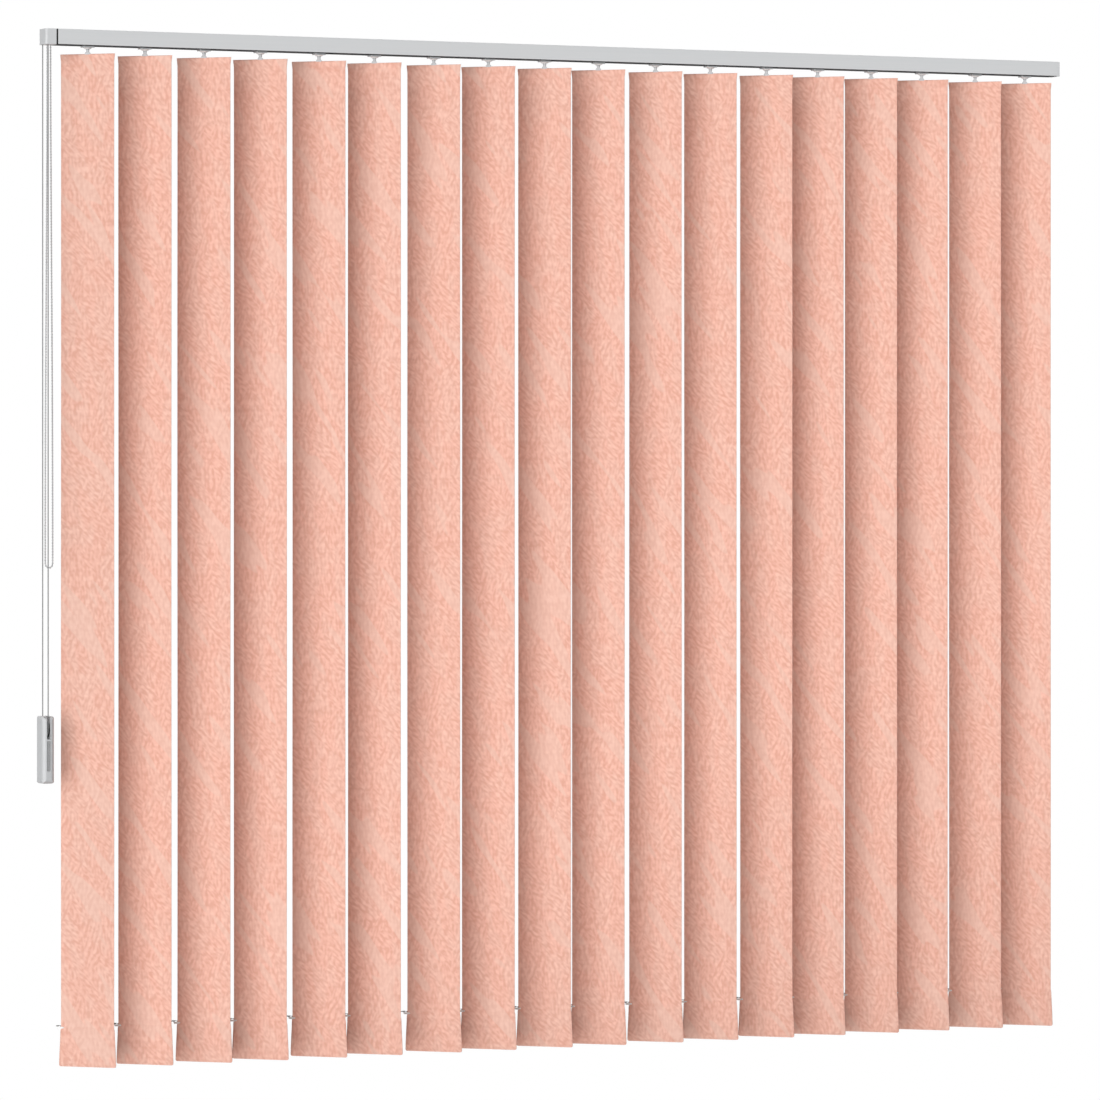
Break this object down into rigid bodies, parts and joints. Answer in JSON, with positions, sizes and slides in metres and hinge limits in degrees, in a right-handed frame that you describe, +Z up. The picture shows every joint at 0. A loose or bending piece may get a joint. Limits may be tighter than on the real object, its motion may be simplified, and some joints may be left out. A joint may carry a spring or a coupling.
{
  "type": "vertical blind",
  "caption": "Slim ceiling-fixed rail with woven hanging louvres that turn together by a bead chain and draw aside by a cord loop.",
  "frame": {"origin": "on the ceiling plane at the middle of the rail's length and depth", "axes": "+Z up to the ceiling, +X along the rail away from the control end, -Y towards the room"},
  "size_m": [1.8147, 0.0697, 1.6169],
  "materials": {
    "rail_paint": "satin light grey paint",
    "moulding": "light grey moulded plastic",
    "rod_metal": "extruded",
    "pin_steel": "plain",
    "pulley_plastic": "moulded",
    "carrier_plastic": "pale translucent plastic",
    "cord": "braided",
    "bead_chain": "moulded beads",
    "link_chain": "moulded links",
    "louvre_fabric": "woven jacquard"
  },
  "bodies": {
    "rail": {"headrail": "rail_paint", "mounting_clips": "moulding", "control_housing": "moulding", "control_cover": "moulding", "return_end_cap": "moulding", "rail_cord": "cord", "traverse_cord": "cord", "tilt_chain": "bead_chain", "cord_weight_left": "moulding", "cord_weight_right": "moulding", "weight_pin": "pin_steel", "carrier_01": "carrier_plastic"},
    "tilt_drive": {"tilt_rod": "rod_metal", "chain_sprocket": "pulley_plastic"},
    "front_pulley": {"cord_pulley_front": "pulley_plastic"},
    "rear_pulley": {"cord_pulley_rear": "pulley_plastic"},
    "far_pulley": {"return_pulley": "pulley_plastic"},
    "loop_pulley": {"weight_pulley": "pulley_plastic"},
    "link_chain": {"bottom_chain": "link_chain"},
    "truck_02": {"carrier_02": "carrier_plastic"},
    "truck_03": {"carrier_03": "carrier_plastic"},
    "truck_04": {"carrier_04": "carrier_plastic"},
    "truck_05": {"carrier_05": "carrier_plastic"},
    "truck_06": {"carrier_06": "carrier_plastic"},
    "truck_07": {"carrier_07": "carrier_plastic"},
    "truck_08": {"carrier_08": "carrier_plastic"},
    "truck_09": {"carrier_09": "carrier_plastic"},
    "truck_10": {"carrier_10": "carrier_plastic"},
    "truck_11": {"carrier_11": "carrier_plastic"},
    "truck_12": {"carrier_12": "carrier_plastic"},
    "truck_13": {"carrier_13": "carrier_plastic"},
    "truck_14": {"carrier_14": "carrier_plastic"},
    "truck_15": {"carrier_15": "carrier_plastic"},
    "truck_16": {"carrier_16": "carrier_plastic"},
    "truck_17": {"carrier_17": "carrier_plastic"},
    "truck_18": {"carrier_18": "carrier_plastic"},
    "slat_01": {"louvre_01": "louvre_fabric"},
    "slat_02": {"louvre_02": "louvre_fabric"},
    "slat_03": {"louvre_03": "louvre_fabric"},
    "slat_04": {"louvre_04": "louvre_fabric"},
    "slat_05": {"louvre_05": "louvre_fabric"},
    "slat_06": {"louvre_06": "louvre_fabric"},
    "slat_07": {"louvre_07": "louvre_fabric"},
    "slat_08": {"louvre_08": "louvre_fabric"},
    "slat_09": {"louvre_09": "louvre_fabric"},
    "slat_10": {"louvre_10": "louvre_fabric"},
    "slat_11": {"louvre_11": "louvre_fabric"},
    "slat_12": {"louvre_12": "louvre_fabric"},
    "slat_13": {"louvre_13": "louvre_fabric"},
    "slat_14": {"louvre_14": "louvre_fabric"},
    "slat_15": {"louvre_15": "louvre_fabric"},
    "slat_16": {"louvre_16": "louvre_fabric"},
    "slat_17": {"louvre_17": "louvre_fabric"},
    "slat_18": {"louvre_18": "louvre_fabric"}
  },
  "joints": [
    {"name": "traverse", "type": "slide", "parent": "rail", "child": "truck_18", "axis": [-1, 0, 0], "range_m": [0, 1.3324], "deforming": ["bottom_chain"]},
    {"name": "carrier_02_slide", "type": "slide", "parent": "rail", "child": "truck_02", "axis": [-1, 0, 0], "range_m": [0, 0.0761]},
    {"name": "carrier_03_slide", "type": "slide", "parent": "rail", "child": "truck_03", "axis": [-1, 0, 0], "range_m": [0, 0.15512]},
    {"name": "carrier_04_slide", "type": "slide", "parent": "rail", "child": "truck_04", "axis": [-1, 0, 0], "range_m": [0, 0.23128]},
    {"name": "carrier_05_slide", "type": "slide", "parent": "rail", "child": "truck_05", "axis": [-1, 0, 0], "range_m": [0, 0.31109]},
    {"name": "carrier_06_slide", "type": "slide", "parent": "rail", "child": "truck_06", "axis": [-1, 0, 0], "range_m": [0, 0.38733]},
    {"name": "carrier_07_slide", "type": "slide", "parent": "rail", "child": "truck_07", "axis": [-1, 0, 0], "range_m": [0, 0.46961]},
    {"name": "carrier_08_slide", "type": "slide", "parent": "rail", "child": "truck_08", "axis": [-1, 0, 0], "range_m": [0, 0.54609]},
    {"name": "carrier_09_slide", "type": "slide", "parent": "rail", "child": "truck_09", "axis": [-1, 0, 0], "range_m": [0, 0.62535]},
    {"name": "carrier_10_slide", "type": "slide", "parent": "rail", "child": "truck_10", "axis": [-1, 0, 0], "range_m": [0, 0.70191]},
    {"name": "carrier_11_slide", "type": "slide", "parent": "rail", "child": "truck_11", "axis": [-1, 0, 0], "range_m": [0, 0.78387]},
    {"name": "carrier_12_slide", "type": "slide", "parent": "rail", "child": "truck_12", "axis": [-1, 0, 0], "range_m": [0, 0.86345]},
    {"name": "carrier_13_slide", "type": "slide", "parent": "rail", "child": "truck_13", "axis": [-1, 0, 0], "range_m": [0, 0.94518]},
    {"name": "carrier_14_slide", "type": "slide", "parent": "rail", "child": "truck_14", "axis": [-1, 0, 0], "range_m": [0, 1.0207]},
    {"name": "carrier_15_slide", "type": "slide", "parent": "rail", "child": "truck_15", "axis": [-1, 0, 0], "range_m": [0, 1.10012]},
    {"name": "carrier_16_slide", "type": "slide", "parent": "rail", "child": "truck_16", "axis": [-1, 0, 0], "range_m": [0, 1.17596]},
    {"name": "carrier_17_slide", "type": "slide", "parent": "rail", "child": "truck_17", "axis": [-1, 0, 0], "range_m": [0, 1.25673]},
    {"name": "tilt", "type": "hinge", "parent": "rail", "child": "slat_01", "pos_m": [-0.8299, 0, -0.03], "axis": [0, 0, -1], "range_deg": [-28.8, 123.2], "deforming": ["bottom_chain"]},
    {"name": "louvre_02_tilt", "type": "hinge", "parent": "truck_02", "child": "slat_02", "pos_m": [-0.7342, 0, -0.03], "axis": [0, 0, -1], "range_deg": [-28.8, 123.2]},
    {"name": "louvre_03_tilt", "type": "hinge", "parent": "truck_03", "child": "slat_03", "pos_m": [-0.6348, 0, -0.03], "axis": [0, 0, -1], "range_deg": [-28.8, 123.2]},
    {"name": "louvre_04_tilt", "type": "hinge", "parent": "truck_04", "child": "slat_04", "pos_m": [-0.539, 0, -0.03], "axis": [0, 0, -1], "range_deg": [-28.8, 123.2]},
    {"name": "louvre_05_tilt", "type": "hinge", "parent": "truck_05", "child": "slat_05", "pos_m": [-0.4386, 0, -0.03], "axis": [0, 0, -1], "range_deg": [-28.8, 123.2]},
    {"name": "louvre_06_tilt", "type": "hinge", "parent": "truck_06", "child": "slat_06", "pos_m": [-0.3427, 0, -0.03], "axis": [0, 0, -1], "range_deg": [-28.8, 123.2]},
    {"name": "louvre_07_tilt", "type": "hinge", "parent": "truck_07", "child": "slat_07", "pos_m": [-0.2392, 0, -0.03], "axis": [0, 0, -1], "range_deg": [-28.8, 123.2]},
    {"name": "louvre_08_tilt", "type": "hinge", "parent": "truck_08", "child": "slat_08", "pos_m": [-0.143, 0, -0.03], "axis": [0, 0, -1], "range_deg": [-28.8, 123.2]},
    {"name": "louvre_09_tilt", "type": "hinge", "parent": "truck_09", "child": "slat_09", "pos_m": [-0.0433, 0, -0.03], "axis": [0, 0, -1], "range_deg": [-28.8, 123.2]},
    {"name": "louvre_10_tilt", "type": "hinge", "parent": "truck_10", "child": "slat_10", "pos_m": [0.053, 0, -0.03], "axis": [0, 0, -1], "range_deg": [-28.8, 123.2]},
    {"name": "louvre_11_tilt", "type": "hinge", "parent": "truck_11", "child": "slat_11", "pos_m": [0.1561, 0, -0.03], "axis": [0, 0, -1], "range_deg": [-28.8, 123.2]},
    {"name": "louvre_12_tilt", "type": "hinge", "parent": "truck_12", "child": "slat_12", "pos_m": [0.2562, 0, -0.03], "axis": [0, 0, -1], "range_deg": [-28.8, 123.2]},
    {"name": "louvre_13_tilt", "type": "hinge", "parent": "truck_13", "child": "slat_13", "pos_m": [0.359, 0, -0.03], "axis": [0, 0, -1], "range_deg": [-28.8, 123.2]},
    {"name": "louvre_14_tilt", "type": "hinge", "parent": "truck_14", "child": "slat_14", "pos_m": [0.454, 0, -0.03], "axis": [0, 0, -1], "range_deg": [-28.8, 123.2]},
    {"name": "louvre_15_tilt", "type": "hinge", "parent": "truck_15", "child": "slat_15", "pos_m": [0.5539, 0, -0.03], "axis": [0, 0, -1], "range_deg": [-28.8, 123.2]},
    {"name": "louvre_16_tilt", "type": "hinge", "parent": "truck_16", "child": "slat_16", "pos_m": [0.6493, 0, -0.03], "axis": [0, 0, -1], "range_deg": [-28.8, 123.2]},
    {"name": "louvre_17_tilt", "type": "hinge", "parent": "truck_17", "child": "slat_17", "pos_m": [0.7509, 0, -0.03], "axis": [0, 0, -1], "range_deg": [-28.8, 123.2]},
    {"name": "louvre_18_tilt", "type": "hinge", "parent": "truck_18", "child": "slat_18", "pos_m": [0.8461, 0, -0.03], "axis": [0, 0, -1], "range_deg": [-28.8, 123.2]},
    {"name": "rod_turn", "type": "hinge", "parent": "rail", "child": "tilt_drive", "pos_m": [-0.894, 0, -0.011], "axis": [1, 0, 0], "range_deg": [-230.4, 985.6]},
    {"name": "chain_swing", "type": "hinge", "parent": "slat_01", "child": "link_chain", "pos_m": [-0.8671, 0.03445, -1.55], "axis": [0, 0, -1], "range_deg": [-123.2, 28.8]},
    {"name": "front_pulley_turn", "type": "hinge", "parent": "rail", "child": "front_pulley", "pos_m": [-0.8958, -0.0122, -0.013], "axis": [0, 1, 0], "range_deg": [-19087, 0]},
    {"name": "rear_pulley_turn", "type": "hinge", "parent": "rail", "child": "rear_pulley", "pos_m": [-0.8958, 0.0122, -0.013], "axis": [0, 1, 0], "range_deg": [0, 19087]},
    {"name": "far_pulley_turn", "type": "hinge", "parent": "rail", "child": "far_pulley", "pos_m": [0.8831, 0, -0.009], "axis": [0, 0, 1], "range_deg": [-6259, 0]},
    {"name": "loop_pulley_turn", "type": "hinge", "parent": "rail", "child": "loop_pulley", "pos_m": [-0.8998, 0, -1.089], "axis": [1, 0, 0], "range_deg": [0, 6259]}
  ],
  "couplings": [
    {"joint": "carrier_02_slide", "follows": "traverse", "ratio": 0.0571},
    {"joint": "carrier_03_slide", "follows": "traverse", "ratio": 0.11641},
    {"joint": "carrier_04_slide", "follows": "traverse", "ratio": 0.17357},
    {"joint": "carrier_05_slide", "follows": "traverse", "ratio": 0.23347},
    {"joint": "carrier_06_slide", "follows": "traverse", "ratio": 0.29069},
    {"joint": "carrier_07_slide", "follows": "traverse", "ratio": 0.35245},
    {"joint": "carrier_08_slide", "follows": "traverse", "ratio": 0.40985},
    {"joint": "carrier_09_slide", "follows": "traverse", "ratio": 0.46933},
    {"joint": "carrier_10_slide", "follows": "traverse", "ratio": 0.52679},
    {"joint": "carrier_11_slide", "follows": "traverse", "ratio": 0.5883},
    {"joint": "carrier_12_slide", "follows": "traverse", "ratio": 0.64803},
    {"joint": "carrier_13_slide", "follows": "traverse", "ratio": 0.70937},
    {"joint": "carrier_14_slide", "follows": "traverse", "ratio": 0.76605},
    {"joint": "carrier_15_slide", "follows": "traverse", "ratio": 0.82566},
    {"joint": "carrier_16_slide", "follows": "traverse", "ratio": 0.88258},
    {"joint": "carrier_17_slide", "follows": "traverse", "ratio": 0.9432},
    {"joint": "louvre_02_tilt", "follows": "tilt", "ratio": 1},
    {"joint": "louvre_03_tilt", "follows": "tilt", "ratio": 1},
    {"joint": "louvre_04_tilt", "follows": "tilt", "ratio": 1},
    {"joint": "louvre_05_tilt", "follows": "tilt", "ratio": 1},
    {"joint": "louvre_06_tilt", "follows": "tilt", "ratio": 1},
    {"joint": "louvre_07_tilt", "follows": "tilt", "ratio": 1},
    {"joint": "louvre_08_tilt", "follows": "tilt", "ratio": 1},
    {"joint": "louvre_09_tilt", "follows": "tilt", "ratio": 1},
    {"joint": "louvre_10_tilt", "follows": "tilt", "ratio": 1},
    {"joint": "louvre_11_tilt", "follows": "tilt", "ratio": 1},
    {"joint": "louvre_12_tilt", "follows": "tilt", "ratio": 1},
    {"joint": "louvre_13_tilt", "follows": "tilt", "ratio": 1},
    {"joint": "louvre_14_tilt", "follows": "tilt", "ratio": 1},
    {"joint": "louvre_15_tilt", "follows": "tilt", "ratio": 1},
    {"joint": "louvre_16_tilt", "follows": "tilt", "ratio": 1},
    {"joint": "louvre_17_tilt", "follows": "tilt", "ratio": 1},
    {"joint": "louvre_18_tilt", "follows": "tilt", "ratio": 1},
    {"joint": "rod_turn", "follows": "tilt", "ratio": 8},
    {"joint": "chain_swing", "follows": "tilt", "ratio": -1},
    {"joint": "front_pulley_turn", "follows": "traverse", "rad_per_m": -250},
    {"joint": "rear_pulley_turn", "follows": "traverse", "rad_per_m": 250},
    {"joint": "far_pulley_turn", "follows": "traverse", "rad_per_m": -81.967},
    {"joint": "loop_pulley_turn", "follows": "traverse", "rad_per_m": 81.967}
  ]
}
